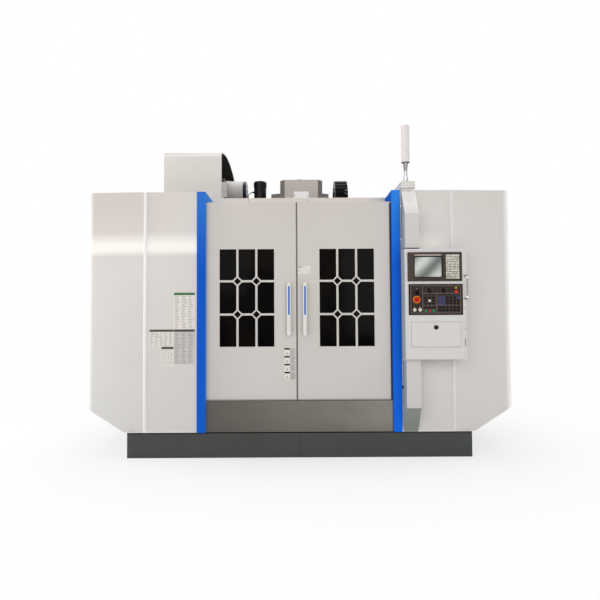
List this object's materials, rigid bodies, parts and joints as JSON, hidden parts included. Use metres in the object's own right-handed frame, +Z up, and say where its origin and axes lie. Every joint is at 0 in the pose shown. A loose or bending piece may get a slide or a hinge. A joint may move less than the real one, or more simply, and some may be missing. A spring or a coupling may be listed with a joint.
{
  "type": "vertical machining center",
  "caption": "Enclosed vertical machining center with sliding doors, travelling table, spindle head, tool magazine with swing arm and a swivelling operator pendant.",
  "frame": {"origin": "on the floor under the centre of the machine's bounding box", "axes": "+Z up, +X to the operator's right, +Y from the doors towards the electrical cabinet"},
  "size_m": [3.338, 2.6443, 2.6919],
  "materials": {
    "warm_white_sheet": "semi-gloss warm light grey enamel",
    "blue_enamel": "glossy blue enamel",
    "plinth_enamel": "dark green-grey enamel",
    "brushed_sheet": "brushed sheet steel",
    "grey_sheet": "mid grey enamel",
    "casting_enamel": "satin grey enamel over cast iron",
    "ground_iron": "ground cast iron",
    "ground_steel": "ground steel",
    "tinted_glass": "dark tinted polycarbonate",
    "dark_plastic": "matte black",
    "bezel_plastic": "dark brown-grey moulding",
    "panel_plate": "dark panel overlay",
    "handle_silver": "satin silver",
    "chrome": "polished chrome",
    "lamp_white": "opal white",
    "motor_black": "black enamel",
    "motor_aluminium": "brushed aluminium",
    "stop_red": "red",
    "button_pale": "pale translucent"
  },
  "bodies": {
    "machine": {"atc_cam_box": "casting_enamel", "atc_motor": "motor_black", "column": "casting_enamel", "column_chain_bracket": "grey_sheet", "coolant_tank_left": "plinth_enamel", "coolant_tank_right": "plinth_enamel", "door_header": "grey_sheet", "electrical_cabinet": "warm_white_sheet", "front_apron": "brushed_sheet", "lamp_stand": "chrome", "lamp_tube": "lamp_white", "left_inner_guard": "grey_sheet", "left_pillar": "blue_enamel", "left_wing_cover": "warm_white_sheet", "levelling_feet": "ground_steel", "machine_bed": "casting_enamel", "magazine_carrier": "casting_enamel", "magazine_cover": "warm_white_sheet", "magazine_drive_motor": "motor_aluminium", "motor_cable": "dark_plastic", "pendant_post": "warm_white_sheet", "right_inner_guard": "grey_sheet", "right_pillar": "blue_enamel", "right_wing_cover": "warm_white_sheet", "y_axis_motor": "motor_black", "z_axis_motor": "motor_black"},
    "saddle": {"saddle": "ground_iron"},
    "table": {"work_table": "ground_iron", "x_axis_motor": "motor_black"},
    "x_screw": {"x_ballscrew": "ground_steel"},
    "y_screw": {"y_ballscrew": "ground_steel"},
    "z_screw": {"z_ballscrew": "ground_steel"},
    "head": {"headstock": "casting_enamel", "spindle_motor": "motor_black", "head_cover": "grey_sheet", "head_chain_bracket": "grey_sheet", "cable_chain": "dark_plastic"},
    "spindle": {"spindle": "ground_steel"},
    "left_door": {"left_door": "warm_white_sheet", "left_window": "tinted_glass", "left_handle": "handle_silver"},
    "right_door": {"right_door": "warm_white_sheet", "right_window": "tinted_glass", "right_handle": "handle_silver"},
    "magazine": {"magazine_disc": "ground_steel"},
    "change_pot": {"change_pot": "ground_steel"},
    "changer_shaft": {"atc_shaft": "ground_steel"},
    "changer_arm": {"atc_arm": "ground_steel"},
    "pendant": {"pendant_box": "warm_white_sheet", "display_unit": "bezel_plastic", "operator_panel": "panel_plate", "pendant_handle": "handle_silver"},
    "emergency_stop": {"emergency_stop": "stop_red"},
    "feed_override": {"feed_override_knob": "dark_plastic"},
    "spindle_override": {"spindle_override_knob": "dark_plastic"},
    "power_on": {"power_on_button": "button_pale"},
    "power_off": {"power_off_button": "button_pale"},
    "key_switch": {"key_switch": "dark_plastic"},
    "tray_door": {"tray_door": "warm_white_sheet"},
    "cabinet_door": {"cabinet_door": "warm_white_sheet"}
  },
  "joints": [
    {"name": "y_axis", "type": "slide", "parent": "machine", "child": "saddle", "axis": [0, 1, 0], "range_m": [-0.3, 0.3]},
    {"name": "x_axis", "type": "slide", "parent": "saddle", "child": "table", "axis": [1, 0, 0], "range_m": [-0.6, 0.6]},
    {"name": "z_axis", "type": "slide", "parent": "machine", "child": "head", "axis": [0, 0, -1], "range_m": [0, 0.6], "deforming": ["cable_chain"]},
    {"name": "y_screw_spin", "type": "hinge", "parent": "machine", "child": "y_screw", "pos_m": [0.015, -0.795, 0.47], "axis": [0, 1, 0], "continuous": true},
    {"name": "x_screw_spin", "type": "hinge", "parent": "table", "child": "x_screw", "pos_m": [0.015, -0.275, 0.7583], "axis": [1, 0, 0], "continuous": true},
    {"name": "z_screw_spin", "type": "hinge", "parent": "machine", "child": "z_screw", "pos_m": [0.015, 0.348, 2.33], "axis": [0, 0, 1], "continuous": true},
    {"name": "spindle_spin", "type": "hinge", "parent": "head", "child": "spindle", "pos_m": [0.015, -0.275, 1.6006], "axis": [0, 0, 1], "continuous": true},
    {"name": "left_door_slide", "type": "slide", "parent": "machine", "child": "left_door", "axis": [-1, 0, 0], "range_m": [0, 0.6]},
    {"name": "right_door_slide", "type": "slide", "parent": "machine", "child": "right_door", "axis": [1, 0, 0], "range_m": [0, 0.6]},
    {"name": "magazine_turn", "type": "hinge", "parent": "machine", "child": "magazine", "pos_m": [-0.76, 0.075, 2.0406], "axis": [1, 0, 0], "continuous": true},
    {"name": "pot_flip", "type": "hinge", "parent": "magazine", "child": "change_pot", "pos_m": [-0.755, 0.075, 1.7206], "axis": [0, 1, 0], "range_deg": [-90, 0]},
    {"name": "changer_drop", "type": "slide", "parent": "machine", "child": "changer_shaft", "axis": [0, 0, -1], "range_m": [0, 0.14]},
    {"name": "changer_turn", "type": "hinge", "parent": "changer_shaft", "child": "changer_arm", "pos_m": [-0.37, -0.1, 1.5906], "axis": [0, 0, -1], "range_deg": [-245.56, 0]},
    {"name": "pendant_swing", "type": "hinge", "parent": "machine", "child": "pendant", "pos_m": [0.842, -1.195, 0.756], "axis": [0, 0, -1], "range_deg": [0, 90]},
    {"name": "emergency_stop_push", "type": "slide", "parent": "pendant", "child": "emergency_stop", "axis": [0, 1, 0], "range_m": [0, 0.006]},
    {"name": "feed_override_turn", "type": "hinge", "parent": "pendant", "child": "feed_override", "pos_m": [0.969, -1.285, 1.269], "axis": [0, 1, 0], "range_deg": [-135, 135]},
    {"name": "spindle_override_turn", "type": "hinge", "parent": "pendant", "child": "spindle_override", "pos_m": [1.074, -1.285, 1.269], "axis": [0, 1, 0], "range_deg": [-135, 135]},
    {"name": "power_on_push", "type": "slide", "parent": "pendant", "child": "power_on", "axis": [0, 1, 0], "range_m": [0, 0.003], "stiffness_N_per_m": 600},
    {"name": "power_off_push", "type": "slide", "parent": "pendant", "child": "power_off", "axis": [0, 1, 0], "range_m": [0, 0.003], "stiffness_N_per_m": 600},
    {"name": "key_turn", "type": "hinge", "parent": "pendant", "child": "key_switch", "pos_m": [0.873, -1.285, 1.245], "axis": [0, 1, 0], "range_deg": [0, 90]},
    {"name": "tray_door_drop", "type": "hinge", "parent": "pendant", "child": "tray_door", "pos_m": [0.829, -1.2833, 0.8465], "axis": [1, 0, 0], "range_deg": [0, 90]},
    {"name": "cabinet_door_swing", "type": "hinge", "parent": "machine", "child": "cabinet_door", "pos_m": [-0.595, 1.315, 0.35], "axis": [0, 0, 1], "range_deg": [0, 110]}
  ],
  "couplings": [
    {"joint": "y_screw_spin", "follows": "y_axis", "rad_per_m": 523.6},
    {"joint": "x_screw_spin", "follows": "x_axis", "rad_per_m": 523.6},
    {"joint": "z_screw_spin", "follows": "z_axis", "rad_per_m": 523.6}
  ]
}
